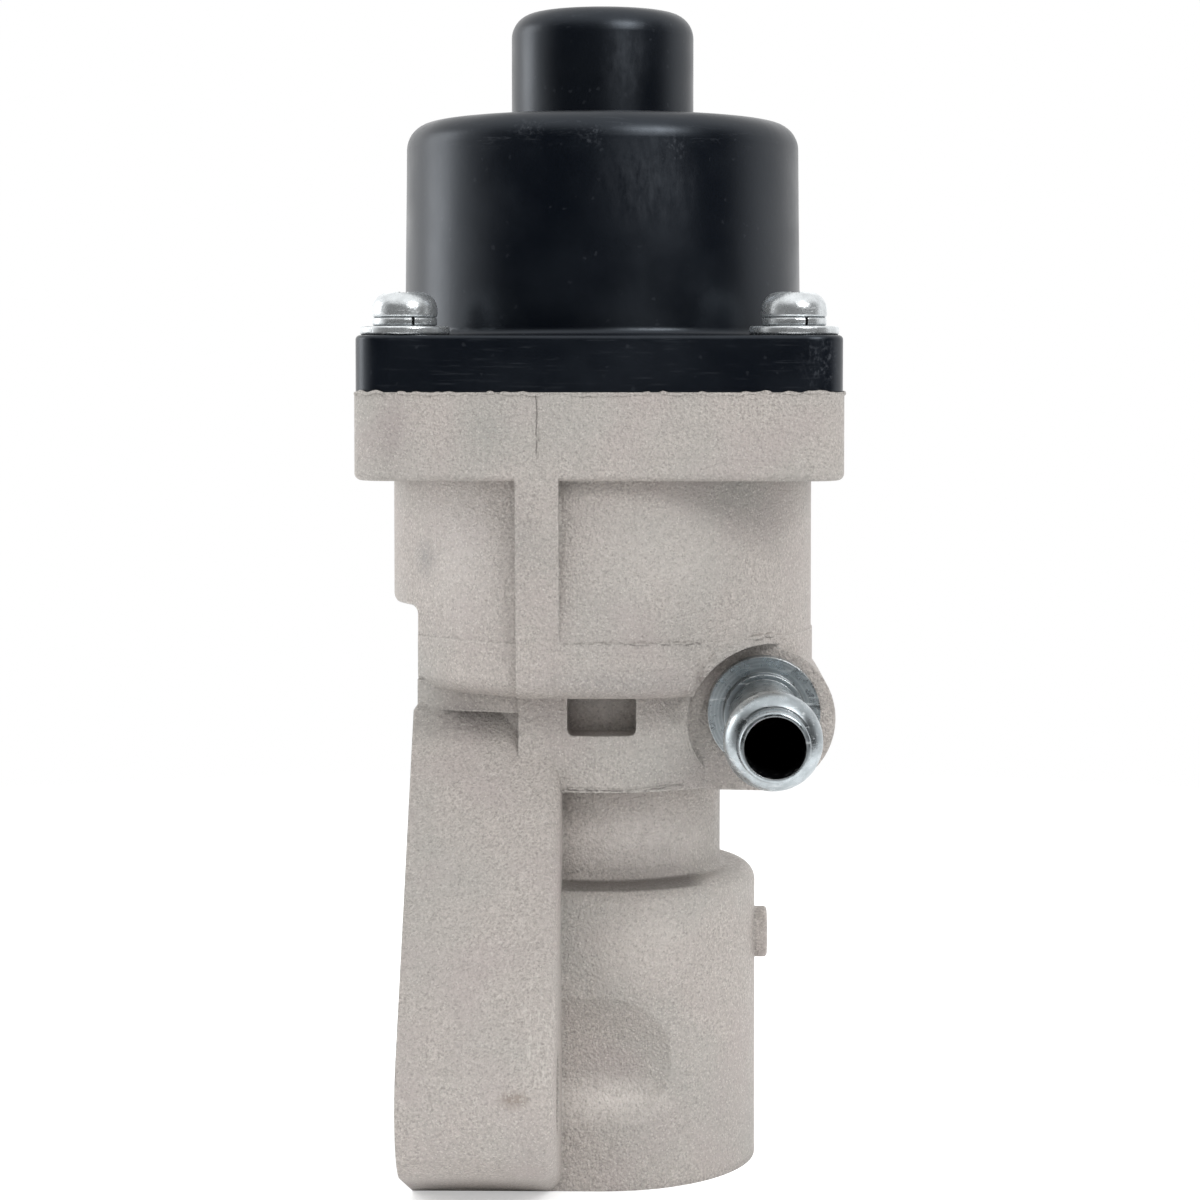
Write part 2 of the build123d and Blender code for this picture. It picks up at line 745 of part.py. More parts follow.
with BuildPart() as motor_cover:
    with BuildSketch(Plane.XY.offset(flange_top)):
        RectangleRounded(cover_width, cover_width, cover_corner_radius)
    extrude(amount=cover_flange_thickness)
    fillet(motor_cover.edges().group_by(Axis.Z)[-1], radius=cover_edge_radius)
    with BuildSketch(Plane.XY.offset(cover_top)):
        Circle(cap_base_radius)
    extrude(amount=cap_height, taper=cap_draft)
    fillet(motor_cover.edges().group_by(Axis.Z)[-1], radius=cap_edge_radius)
    with BuildSketch(Plane.XY.offset(cap_top)):
        Circle(top_cap_radius)
    extrude(amount=top_cap_height)
    fillet(motor_cover.edges().group_by(Axis.Z)[-1], radius=top_cap_edge_radius)
    cap_root = motor_cover.edges().filter_by(GeomType.CIRCLE).filter_by_position(
        Axis.Z, cover_top, cover_top)
    fillet(cap_root.sort_by(SortBy.RADIUS)[-1], radius=cap_root_fillet)
    # socket shell at the back, with a latch lug on top
    with BuildSketch(Plane.XZ.offset(-socket_reach)):
        with Locations((0, socket_z)):
            RectangleRounded(socket_width, socket_height, socket_corner_radius)
    extrude(amount=socket_reach - cover_bore_radius)
    with BuildSketch(Plane.YZ.offset(-latch_width / 2)):
        lug_z = socket_z + socket_height / 2
        with BuildLine():
            Polyline(
                (socket_reach - 2 * latch_length, lug_z - socket_wall / 2),
                (socket_reach - 2 * latch_length, lug_z + latch_height),
                (socket_reach - latch_length, lug_z),
                (socket_reach - latch_length, lug_z - socket_wall / 2),
                close=True,
            )
        make_face()
    extrude(amount=latch_width)
    with BuildSketch(socket_plane):
        RectangleRounded(socket_width - 2 * socket_wall, socket_height - 2 * socket_wall,
                         socket_corner_radius - socket_wall)
    extrude(amount=socket_depth, mode=Mode.SUBTRACT)
    # slots that the pins pass through
    with BuildSketch(pin_plane):
        with Locations(*pin_places):
            Rectangle(pin_width, pin_thickness)
    extrude(amount=socket_floor_y - pin_inner_y, mode=Mode.SUBTRACT)
    # motor bore, then the bearing and shaft bores in the top cap
    for bottom, top, radius in (
        (flange_top, stator_top, cover_bore_radius),
        (stator_top, upper_bearing_z + bearing_width, bearing_outer_radius),
        (upper_bearing_z, top_cap_top - top_cap_roof, bearing_outer_radius - bearing_ring_wall),
    ):
        with BuildSketch(Plane.XY.offset(bottom)):
            Circle(radius)
        extrude(amount=top - bottom, mode=Mode.SUBTRACT)
    with BuildSketch(Plane.XY.offset(flange_top)):
        with Locations(*screw_places):
            Circle(screw_radius + washer_bore_clearance)
    extrude(amount=cover_flange_thickness, mode=Mode.SUBTRACT)

with BuildPart() as connector_pins:
    with BuildSketch(pin_plane):
        with Locations(*pin_places):
            Rectangle(pin_width, pin_thickness)
    extrude(amount=socket_floor_y - pin_inner_y + pin_stand)

seal_z = flange_top - seal_section_radius + seal_squeeze / 2
with BuildPart() as cover_seal:
    with BuildSketch(Plane.XZ):
        with Locations((seal_ring_radius, seal_z - seal_squeeze)):
            Circle(seal_section_radius - seal_squeeze / 2)
    revolve(axis=Axis.Z)

# ================= cover screws and washers =================

washer_top = cover_top + washer_stack
with BuildPart() as cover_screw:
    with BuildSketch(Plane.XY.offset(washer_top)):
        Circle(screw_head_radius)
    extrude(amount=screw_head_height)
    fillet(cover_screw.edges().group_by(Axis.Z)[-1], radius=screw_head_round)
    fillet(cover_screw.edges().group_by(Axis.Z)[0], radius=screw_foot_round)
    with BuildSketch(Plane.XY.offset(washer_top)):
        Circle(screw_radius)
    extrude(amount=-screw_length)
    chamfer(cover_screw.edges().group_by(Axis.Z)[0], length=screw_radius / 4)
    with BuildSketch(Plane.XY.offset(washer_top + screw_head_height)):
        Rectangle(recess_length, recess_width)
        Rectangle(recess_width, recess_length)
    extrude(amount=-recess_depth, mode=Mode.SUBTRACT)


def rounded_washer(z, thickness, outer):
    """A washer for the cover screws, standing on height z, its two outer edges rounded."""
    with BuildPart() as washer:
        add(ring_at(z, thickness, outer, screw_radius + washer_bore_clearance))
        rims = washer.edges().filter_by(GeomType.CIRCLE).sort_by(SortBy.RADIUS)[-2:]
        fillet(rims, radius=washer_edge_round)
    return washer.part


with BuildPart() as spring_washer:
    add(rounded_washer(cover_top + flat_washer_thickness, spring_washer_thickness,
                       spring_washer_radius))
    with BuildSketch(Plane.XY.offset(cover_top + flat_washer_thickness)):
        with PolarLocations(0, 1, start_angle=spring_washer_split):
            Rectangle(2 * spring_washer_radius, spring_washer_gap, align=(Align.MIN, Align.CENTER))
    extrude(amount=spring_washer_thickness, mode=Mode.SUBTRACT)

flat_washer = rounded_washer(cover_top, flat_washer_thickness, flat_washer_radius)


def at_each_screw(piece):
    """The same piece at each of the four screw places, as separate solids."""
    return Compound(children=[place * piece for place in screw_places])


# ================= hose nipple =================

nipple_plane = Plane(origin=(nipple_x, nipple_face_y, nipple_z), x_dir=(1, 0, 0), z_dir=(0, -1, 0))
with BuildPart() as hose_nipple:
    stations = (
        (nipple_root_radius - assembly_clearance, -nipple_seat_depth, 0),
        (collar_radius, 0, collar_length),
        (nipple_root_radius, collar_length, collar_length + nipple_root_length),
        (nipple_tube_radius, collar_length + nipple_root_length, nipple_length - bead_tip_length),
        (bead_tip_radius, nipple_length - bead_tip_length, nipple_length),
    )
    for radius, start, end in stations:
        with BuildSketch(nipple_plane.offset(start)):
            Circle(radius)
        extrude(amount=end - start)
    bead_middle = nipple_length - bead_tip_length - bead_length / 2
    with BuildSketch(Plane(origin=nipple_plane.origin, x_dir=(1, 0, 0), z_dir=(0, 0, 1))):
        with BuildLine():
            ThreePointArc(
                (nipple_tube_radius, -bead_middle + bead_length / 2),
                (bead_radius, -bead_middle),
                (nipple_tube_radius, -bead_middle - bead_length / 2),
            )
            Line(
                (nipple_tube_radius, -bead_middle - bead_length / 2),
                (nipple_bore_radius, -bead_middle - bead_length / 2),
            )
            Line(
                (nipple_bore_radius, -bead_middle - bead_length / 2),
                (nipple_bore_radius, -bead_middle + bead_length / 2),
            )
            Line(
                (nipple_bore_radius, -bead_middle + bead_length / 2),
                (nipple_tube_radius, -bead_middle + bead_length / 2),
            )
        make_face()
    revolve(axis=Axis(nipple_plane.origin, (0, 1, 0)))
    fillet(hose_nipple.edges().group_by(Axis.Y)[0], radius=bead_tip_round)
    with BuildSketch(nipple_plane.offset(-nipple_seat_depth)):
        Circle(nipple_bore_radius)
    extrude(amount=nipple_seat_depth + nipple_length, mode=Mode.SUBTRACT)

# ================= the finished pieces =================

pieces = {
    "valve_housing": valve_housing.part,
    "valve_seat": valve_seat.part,
    "valve_disc": valve_disc.part,
    "valve_stem": valve_stem.part,
    "guide_bush": guide_bush.part,
    "stem_shield": stem_shield.part,
    "stem_seal": stem_seal.part,
    "lower_spring_seat": lower_spring_seat.part,
    "return_spring": return_spring.part,
    "spring_retainer": spring_retainer.part,
    "retaining_clip": retaining_clip.part,
    "motor_front_plate": motor_front_plate.part,
    "motor_shaft": motor_shaft.part,
    "rotor_nut": rotor_nut.part,
    "rotor_magnet": rotor_magnet,
    "lower_bearing_outer_ring": lower_bearing[0],
    "lower_bearing_inner_ring": lower_bearing[1],
    "lower_bearing_balls": lower_bearing[2],
    "upper_bearing_outer_ring": upper_bearing[0],
    "upper_bearing_inner_ring": upper_bearing[1],
    "upper_bearing_balls": upper_bearing[2],
    "bearing_preload_washer": bearing_preload_washer,
    "lower_phase_lower_yoke": lower_phase[0],
    "lower_phase_upper_yoke": lower_phase[1],
    "lower_phase_bobbin": lower_phase[2],
    "lower_phase_winding": lower_phase[3],
    "upper_phase_lower_yoke": upper_phase[0],
    "upper_phase_upper_yoke": upper_phase[1],
    "upper_phase_bobbin": upper_phase[2],
    "upper_phase_winding": upper_phase[3],
    "motor_cover": motor_cover.part,
    "cover_seal": cover_seal.part,
    "connector_pins": connector_pins.part,
    "cover_screws": at_each_screw(cover_screw.part),
    "spring_washers": at_each_screw(spring_washer.part),
    "flat_washers": at_each_screw(flat_washer),
    "hose_nipple": hose_nipple.part,
}

os.makedirs("parts", exist_ok=True)
for name, piece in pieces.items():
    piece.label = name
    export_step(piece, f"parts/{name}.step")
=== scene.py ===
"""Looks of a stepper-driven exhaust gas recirculation valve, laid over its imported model.

Lengths are in metres. Z points up along the valve axis from the machined base face, the hose nipple
points to -Y and the mounting flange faces -X.
"""

import json
import math

import bmesh
import bpy
import numpy as np
from mathutils import Euler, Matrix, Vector


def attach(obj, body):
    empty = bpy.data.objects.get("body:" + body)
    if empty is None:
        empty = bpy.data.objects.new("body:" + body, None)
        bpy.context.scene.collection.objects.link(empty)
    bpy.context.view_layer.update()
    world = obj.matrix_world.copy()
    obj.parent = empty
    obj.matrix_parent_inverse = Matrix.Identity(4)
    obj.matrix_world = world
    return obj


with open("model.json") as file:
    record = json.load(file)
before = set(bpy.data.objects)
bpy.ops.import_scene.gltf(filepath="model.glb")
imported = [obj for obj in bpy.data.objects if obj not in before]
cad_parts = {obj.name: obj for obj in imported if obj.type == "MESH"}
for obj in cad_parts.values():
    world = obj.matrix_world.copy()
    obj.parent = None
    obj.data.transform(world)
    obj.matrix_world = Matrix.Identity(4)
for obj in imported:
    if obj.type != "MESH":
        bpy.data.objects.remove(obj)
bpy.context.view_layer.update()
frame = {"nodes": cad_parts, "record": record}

MM = 0.001

# ---- places on the valve that the finishes and the casting flash need ----
MOUNT_FACE_X = -21.35 * MM
MOUNT_FACE_TOP_Z = 66.3 * MM
CHAMBER_SHOULDER_Z = (34.25 * MM, 34.80 * MM)
RING_BOTTOM_Z = 45.6 * MM
RING_RADIUS = 18.7 * MM
BODY_BOTTOM_Z = 56.7 * MM
BAND_TOP_Z = 63.0 * MM
BODY_RADIUS = 24.75 * MM
BODY_EDGE = 2.4 * MM
FLANGE_TOP_Z = 90.9 * MM
FLANGE_HALF = 27.15 * MM
FLANGE_CORNER = 4.0 * MM
PARTING_LINE_X = -6.65 * MM
COVER_PLATE_Z = (91.5 * MM, 96.8 * MM)
CAP_SHOULDER_Z = (119.0 * MM, 122.4 * MM)
TOP_CAP_SHOULDER_Z = (133.0 * MM, 135.4 * MM)
NIPPLE_X = 18.6 * MM
NIPPLE_Z = 54.45 * MM
NIPPLE_BORE = 3.2 * MM
COLLAR_FRONT_Y = -16.7 * MM

# ---- camera: distance and height of the eye, and what the lens takes in ----
EYE = Vector((5.9, -338.9, 93.9)) * MM
AIM_X = -0.31 * MM
TILT = math.radians(2.07)
LENS_MM = 85.5
SENSOR_MM = 36.0
SHIFT_DOWN = 0.11

# ---- floor: a disc that fades out between two distances from the valve axis ----
FLOOR_RADIUS = 0.34
FLOOR_FADE = (0.16, 0.32)
FLOOR_GLOW = 0.40


# ================= shader building blocks =================

def node(tree, kind, inputs=None, **settings):
    """Adds a shader node; inputs are socket values or the sockets that feed them."""
    made = tree.nodes.new("ShaderNode" + kind)
    for name, value in settings.items():
        setattr(made, name, value)
    for socket, value in (inputs or {}).items():
        if isinstance(value, bpy.types.NodeSocket):
            tree.links.new(value, made.inputs[socket])
        else:
            made.inputs[socket].default_value = value
    return made


def maths(tree, operation, a, b=0.0):
    """One arithmetic step on two numbers or sockets."""
    return node(tree, "Math", {0: a, 1: b}, operation=operation).outputs[0]


def times(tree, first, *others):
    """The product of numbers or sockets."""
    for other in others:
        first = maths(tree, "MULTIPLY", first, other)
    return first


def most(tree, first, *others):
    """The largest of some numbers or sockets."""
    for other in others:
        first = maths(tree, "MAXIMUM", first, other)
    return first


def mm(*sizes):
    """Millimetres as a list of metres."""
    return [size * MM for size in sizes]


def noise(tree, where, size, detail=2.0, roughness=0.5, distortion=0.0):
    """Noise whose grains are about `size` metres across, from 0 to 1 with a mean of a half."""
    made = node(tree, "TexNoise", {"Vector": where, "Scale": 1.0 / size, "Detail": detail,
                                   "Roughness": roughness, "Distortion": distortion})
    return made.outputs["Fac"]


def flecks(tree, where, size):
    """A random number from 0 to 1 for each small grain of about `size` metres."""
    cells = node(tree, "TexVoronoi", {"Vector": where, "Scale": 1.0 / size})
    return node(tree, "SeparateColor", {0: cells.outputs["Color"]}).outputs[0]


def between(tree, value, low, high, to_low=0.0, to_high=1.0):
    """Value mapped from low..high to to_low..to_high, and held at the ends."""
    made = node(tree, "MapRange", {"Value": value, "From Min": low, "From Max": high,
                                   "To Min": to_low, "To Max": to_high})
    return made.outputs["Result"]


def blend_colour(tree, share, first, second):
    """Mix of two colours, by a number or socket."""
    made = node(tree, "Mix", data_type="RGBA")
    # the node's inputs 0, 6 and 7 are the share and the two colours, and output 2 is their mix
    for socket, value in ((0, share), (6, first), (7, second)):
        if isinstance(value, bpy.types.NodeSocket):
            tree.links.new(value, made.inputs[socket])
        elif socket == 0:
            made.inputs[0].default_value = value
        else:
            made.inputs[socket].default_value = (*value, 1.0)
    return made.outputs[2]


def bump(tree, height, strength, depth, normal=None):
    """Surface normal tilted by a height map; depth is in metres."""
    inputs = {"Height": height, "Strength": strength, "Distance": depth}
    if normal is not None:
        inputs["Normal"] = normal
    return node(tree, "Bump", inputs).outputs["Normal"]


def axes_of(tree, where):
    """The X, Y and Z of a place."""
    parts = node(tree, "SeparateXYZ", {0: where})
    return parts.outputs[0], parts.outputs[1], parts.outputs[2]


def near(tree, where, place, reach, soft=0.5):
    """1 at `place`, fading to 0 at the ellipsoid whose half axes are `reach`."""
    scaled = node(tree, "Mapping", {"Vector": where, "Location": place, "Scale": reach},
                  vector_type="TEXTURE").outputs["Vector"]
    distance = node(tree, "VectorMath", {0: scaled}, operation="LENGTH").outputs["Value"]
    return between(tree, distance, 1.0, 1.0 - soft)


def within(tree, value, low, high, soft):
    """1 where value lies from low to high, with soft edges on both sides."""
    rising = between(tree, value, low - soft, low)
    falling = between(tree, value, high, high + soft, 1.0, 0.0)
    return times(tree, rising, falling)


def stretched(tree, where, scale):
    """The place with its X, Y and Z scaled, so that a pattern read there is drawn out."""
    return node(tree, "Mapping", {"Vector": where, "Scale": scale}).outputs["Vector"]


def edge_share(tree, radius):
    """About 0 on flat places, rising towards 1 on sharp edges; and the normal rounded over the edges."""
    rounded = node(tree, "Bevel", {"Radius": radius}, samples=6).outputs["Normal"]
    plain_normal = node(tree, "NewGeometry").outputs["Normal"]
    lean = node(tree, "VectorMath", {0: rounded, 1: plain_normal}, operation="DOT_PRODUCT")
    return between(tree, lean.outputs["Value"], 0.995, 0.90), rounded


def hollow_share(tree, reach):
    """0 in the open, rising towards 1 in corners and hollows within `reach` metres."""
    open_share = node(tree, "AmbientOcclusion", {"Distance": reach}, samples=6).outputs["AO"]
    return between(tree, open_share, 0.92, 0.35)


def new_material(name):
    """An empty material with its shader, and the place on the object as a socket."""
    material = bpy.data.materials.new(name)
    material.use_nodes = True
    tree = material.node_tree
    shader = tree.nodes["Principled BSDF"]
    where = node(tree, "TexCoord").outputs["Object"]
    return material, tree, shader, where


# ================= finishes =================

def cast_skin(tree, where, grain, mottle):
    """Colour of the blasted skin: light and dark grains under broad brown, olive and rosy clouds."""
    patches = noise(tree, where, 15 * MM, detail=2.0)
    rosy = noise(tree, where, 9 * MM, detail=1.0)
    light = between(tree, grain, 0.32, 0.68)
    colour = blend_colour(tree, light, (0.36, 0.330, 0.308), (0.64, 0.592, 0.556))
    colour = blend_colour(tree, between(tree, mottle, 0.38, 0.68, 0.0, 0.4), colour, (0.50, 0.455, 0.43))
    colour = blend_colour(tree, between(tree, patches, 0.45, 0.68, 0.0, 0.5), colour, (0.43, 0.425, 0.40))
    return blend_colour(tree, between(tree, rosy, 0.50, 0.70, 0.0, 0.5), colour, (0.49, 0.435, 0.42))


def stains_and_painted_shading(tree, where, colour):
    """Marks on the casting: painted light on the neck, scoop, chamber, body and pocket; painted shade and
    shadow under the body and flange, at the flange's corner, on the body's lower edge and beside the rib and
    boss; a grey smudge, a brown spot and an olive patch.
    """
    ragged = noise(tree, where, 0.9 * MM, detail=4.0, roughness=0.7)
    # each mark's place and half axes in millimetres, its colour and its strength
    marks = (
        ((3.5, -12.5, 39.6), (14.0, 8.0, 6.0), (0.76, 0.71, 0.675), 0.85),        # painted light on the neck
        ((1.0, -17.0, 10.2), (8.0, 3.4, 3.4), (0.82, 0.77, 0.73), 0.90),          # painted light at the foot of the scoop
        ((4.5, -17.2, 29.0), (9.0, 5.0, 7.5), (0.72, 0.67, 0.63), 0.60),          # painted light on the front of the chamber
        ((-15.8, -18.0, 74.5), (10.0, 9.0, 13.0), (0.70, 0.66, 0.635), 0.60),     # painted light on the body left of the rib
        ((6.0, -22.5, 72.5), (11.0, 5.0, 8.0), (0.66, 0.62, 0.585), 0.50),        # painted light on the body right of the rib
        ((-19.8, -14.5, 71.8), (2.2, 4.0, 2.9), (0.30, 0.29, 0.29), 0.60),        # grey smudge
        ((-8.7, -40.3, 16.2), (2.0, 2.5, 1.2), (0.24, 0.19, 0.15), 0.80),         # brown spot on the web
        ((-15.8, -15.6, 53.4), (8.5, 2.6, 3.4), (0.20, 0.185, 0.175), 0.75),      # painted shadow in the hollow under the body
        ((17.0, -20.0, 78.6), (9.0, 9.0, 4.2), (0.34, 0.325, 0.31), 0.50),        # painted shadow under the flange at the right
        ((-12.0, -27.2, 86.4), (4.8, 2.0, 5.2), (0.36, 0.36, 0.335), 0.55),       # flange by the parting line
        ((-22.6, -26.6, 86.5), (1.9, 1.9, 6.0), (0.33, 0.285, 0.28), 0.50),       # painted shade where the flange's corner rounds
        ((3.0, -25.0, 58.5), (13.0, 4.0, 2.6), (0.30, 0.29, 0.285), 0.50),        # painted shade on the body's lower edge
        ((-8.6, -24.5, 76.0), (3.0, 4.0, 9.0), (0.35, 0.325, 0.31), 0.55),        # painted shade beside the left side of the rib
        ((11.2, -22.0, 58.6), (1.0, 1.6, 2.6), (0.10, 0.08, 0.07), 0.60),         # painted shadow in the undercut beside the boss
        ((8.9, -17.0, 53.8), (1.3, 2.0, 1.0), (0.22, 0.20, 0.185), 0.60),         # painted shadow on the ring beside the boss
        ((0.2, -14.0, 53.9), (4.8, 4.6, 2.7), (0.86, 0.80, 0.76), 0.90),          # painted light in the pocket
    )
    for place, reach, tone, strength in marks:
        spot = near(tree, where, mm(*place), mm(*reach), 0.9)
        share = times(tree, spot, between(tree, ragged, 0.3, 0.6, 0.35 * strength, strength))
        colour = blend_colour(tree, share, colour, tone)
    return colour


def web_scuffs(tree, where, colour):
    """Pale upright scuffs near the free edge of the mounting web."""
    upright = stretched(tree, where, (1.0, 0.3, 0.12))
    scuffs = between(tree, noise(tree, upright, 0.30 * MM, 2.0), 0.52, 0.66)
    area = near(tree, where, mm(-6.2, -36.8, 22.5), mm(2.4, 9.0, 9.5), 0.6)
    return blend_colour(tree, times(tree, scuffs, area, 0.55), colour, (0.74, 0.71, 0.66))


def seam_shade_share(tree, where):
    """Where thin broken dark lines are painted as shade beside the ridges of casting flash."""
    x, y, z = axes_of(tree, where)
    wobble = times(tree, maths(tree, "SUBTRACT", noise(tree, where, 1.6 * MM, 3.0), 0.5), 0.5 * MM)
    broken = between(tree, noise(tree, where, 0.9 * MM, 3.0), 0.40, 0.58)
    in_front = between(tree, y, -13.0 * MM, -14.0 * MM)
    slanted = maths(tree, "SUBTRACT", z, times(tree, x, 0.08))
    # the axis across each line, its place and width, the axis along it, and its ends, in millimetres
    seams = (
        (z, 45.86, 0.16, x, -4.3, 2.7),
        (slanted, 45.42, 0.14, x, 3.2, 9.3),
        (z, 62.86, 0.16, x, 3.2, 11.2),
        (x, -6.78, 0.08, z, 84.2, 90.7),
    )
    share = 0.0
    for across, place, width, along, start, end in seams:
        moved = maths(tree, "ADD", across, wobble)
        line = within(tree, moved, (place - width / 2) * MM, (place + width / 2) * MM, 0.06 * MM)
        share = most(tree, share, times(tree, line, within(tree, along, start * MM, end * MM, 0.3 * MM)))
    return times(tree, share, in_front, broken, 0.65)


def shoulder_shade_share(tree, where):
    """Where shade is painted on the narrow shoulder on which the neck stands, in the shadow of the body
    above.
    """
    x, y, z = axes_of(tree, where)
    return times(tree, within(tree, z, *CHAMBER_SHOULDER_Z, 0.22 * MM),
                 within(tree, x, -3.2 * MM, 10.0 * MM, 2.5 * MM),
                 within(tree, y, -17.4 * MM, -6.0 * MM, 0.3 * MM), 0.70)


def machined_share(tree, where):
    """1 on the machined base and on the mounting face, and 0 elsewhere."""
    x, _, z = axes_of(tree, where)
    based = between(tree, z, 0.03 * MM, 0.01 * MM)
    faced = times(tree, between(tree, x, MOUNT_FACE_X + 0.03 * MM, MOUNT_FACE_X + 0.01 * MM),
                  between(tree, z, MOUNT_FACE_TOP_Z + 0.1 * MM, MOUNT_FACE_TOP_Z))
    return most(tree, based, faced)


def cast_aluminium():
    """Sand-blasted aluminium casting: warm grey, bright and dark grains, worn edges, machined faces, and
    painted light and shade.
    """
    material, tree, shader, where = new_material("cast_aluminium")
    grain = noise(tree, where, 0.32 * MM, detail=3.0, roughness=0.65)
    mottle = noise(tree, where, 2.2 * MM, detail=3.0)
    grit = flecks(tree, where, 0.17 * MM)
    glints = between(tree, grit, 0.87, 0.93)
    pits = between(tree, flecks(tree, where, 0.22 * MM), 0.88, 0.93, 0.0, 0.30)
    edge, rounded = edge_share(tree, 0.35 * MM)
    worn = times(tree, edge, between(tree, grain, 0.42, 0.6, 0.15, 0.85))
    # painted shade: the colour darkens in hollows and corners, where shade falls
    painted_hollow_shade = times(tree, hollow_share(tree, 1.6 * MM), between(tree, grain, 0.3, 0.7, 0.34, 0.12))
    # painted shade: dark lines beside the flash ridges, and the shaded shoulder under the neck
    painted_seam_shade = most(tree, seam_shade_share(tree, where), shoulder_shade_share(tree, where))
    colour = cast_skin(tree, where, grain, mottle)
    colour = stains_and_painted_shading(tree, where, colour)
    colour = web_scuffs(tree, where, colour)
    colour = blend_colour(tree, pits, colour, (0.25, 0.23, 0.215))
    colour = blend_colour(tree, times(tree, glints, 0.40), colour, (0.82, 0.79, 0.74))
    colour = blend_colour(tree, worn, colour, (0.70, 0.67, 0.63))
    colour = blend_colour(tree, painted_hollow_shade, colour, (0.17, 0.158, 0.148))
    colour = blend_colour(tree, painted_seam_shade, colour, (0.13, 0.12, 0.11))
    # the machined faces are flatter, shinier and paler, with the round marks of the cutter
    machined = machined_share(tree, where)
    rings = node(tree, "TexWave", {"Vector": where, "Scale": 420.0, "Distortion": 2.5, "Detail": 3.0},
                 wave_type="RINGS", rings_direction="SPHERICAL").outputs["Fac"]
    cut = blend_colour(tree, rings, (0.50, 0.49, 0.48), (0.55, 0.54, 0.53))
    metallic = most(tree, between(tree, machined, 0, 1, 0.45, 0.95), times(tree, glints, 0.8))
    dull = between(tree, glints, 0.0, 1.0, 0.56, 0.36)
    rough = maths(tree, "MINIMUM", dull, between(tree, machined, 0, 1, 1.0, 0.32))
    tree.links.new(blend_colour(tree, machined, colour, cut), shader.inputs["Base Color"])
    tree.links.new(metallic, shader.inputs["Metallic"])
    tree.links.new(rough, shader.inputs["Roughness"])
    soft = bump(tree, mottle, between(tree, machined, 0, 1, 0.30, 0.01), 0.6 * MM, rounded)
    coarse = bump(tree, grain, between(tree, machined, 0, 1, 1.0, 0.05), 0.36 * MM, soft)
    fine = bump(tree, grit, between(tree, machined, 0, 1, 0.30, 0.02), 0.06 * MM, coarse)
    tree.links.new(fine, shader.inputs["Normal"])
    return material


def rubs_and_painted_highlight_share(tree, where):
    """Where the moulding shows rubs on the shoulders, powdery spots and lines on the plate, and where
    highlights are painted: upright streaks on both caps and a reflection on the plate's right end.
    """
    z = axes_of(tree, where)[2]
    shoulder = most(tree, within(tree, z, *CAP_SHOULDER_Z, 1.5 * MM),
                    within(tree, z, *TOP_CAP_SHOULDER_Z, 0.8 * MM))
    around = stretched(tree, where, (1.0, 1.0, 6.0))
    cloudy = between(tree, noise(tree, around, 2.6 * MM, 5.0, 0.7, 0.8), 0.56, 0.75)
    rubs_and_painted_highlights = times(tree, cloudy, times(tree, shoulder, 0.5))
    powder = between(tree, noise(tree, where, 0.5 * MM, 5.0, 0.75), 0.50, 0.66)
    # each powdery spot's place and half axes in millimetres; the last is a painted reflection on the plate's
    # right end
    spots = (
        ((-7.8, -21.5, 120.4), (2.6, 3.0, 1.8)),
        ((-0.8, -22.8, 119.3), (2.4, 2.5, 1.6)),
        ((8.5, -21.0, 118.0), (1.6, 2.5, 2.4)),
        ((24.8, -25.5, 94.2), (3.6, 5.0, 4.4)),
    )
    for place, reach in spots:
        rubs_and_painted_highlights = most(tree, rubs_and_painted_highlights, times(tree, powder, near(tree, where, mm(*place), mm(*reach), 0.9)))
    # painted highlight: soft upright streaks on the cap and the top cap, partly scuffs
    upright = stretched(tree, where, (1.0, 1.0, 0.35))
    streak = between(tree, noise(tree, upright, 1.1 * MM, 6.0, 0.75), 0.40, 0.70, 0.05, 0.50)
    painted_highlight_area = most(tree, near(tree, where, mm(5.5, -22.0, 114.5), mm(7.5, 4.0, 7.0), 0.95),
                near(tree, where, mm(2.8, -10.5, 129.0), mm(3.2, 3.0, 7.0), 0.95))
    along = stretched(tree, where, (0.06, 0.3, 1.0))
    lines = between(tree, noise(tree, along, 0.25 * MM, 3.0), 0.60, 0.72)
    plate = within(tree, z, *COVER_PLATE_Z, 0.3 * MM)
    return most(tree, rubs_and_painted_highlights, times(tree, streak, painted_highlight_area), times(tree, lines, plate, 0.22))


def black_plastic():
    """Satin black moulding, faintly blue, with hazy rub marks on its shoulders, painted highlights on both
    caps and on the plate's end, and a fine grain.
    """
    material, tree, shader, where = new_material("black_plastic")
    cloud = noise(tree, where, 7 * MM, detail=4.0)
    rubs_and_painted_highlights = rubs_and_painted_highlight_share(tree, where)
    specks = between(tree, flecks(tree, where, 0.32 * MM), 0.992, 0.996)
    haze_and_painted_highlights = most(tree, times(tree, rubs_and_painted_highlights, 0.60), times(tree, specks, 0.16))
    clean = between(tree, cloud, 0.4, 0.7)
    colour = blend_colour(tree, clean, (0.0008, 0.0020, 0.0050), (0.0014, 0.0030, 0.0066))
    tree.links.new(blend_colour(tree, haze_and_painted_highlights, colour, (0.052, 0.056, 0.064)), shader.inputs["Base Color"])
    polish = between(tree, cloud, 0.3, 0.7, 0.28, 0.38)
    tree.links.new(maths(tree, "ADD", polish, times(tree, rubs_and_painted_highlights, 0.25)), shader.inputs["Roughness"])
    shader.inputs["IOR"].default_value = 1.60
    shader.inputs["Specular Tint"].default_value = (0.80, 0.89, 1.0, 1.0)
    peel = noise(tree, where, 0.8 * MM, detail=2.0)
    rounded = edge_share(tree, 0.3 * MM)[1]
    tree.links.new(bump(tree, peel, 0.12, 0.05 * MM, rounded), shader.inputs["Normal"])
    return material


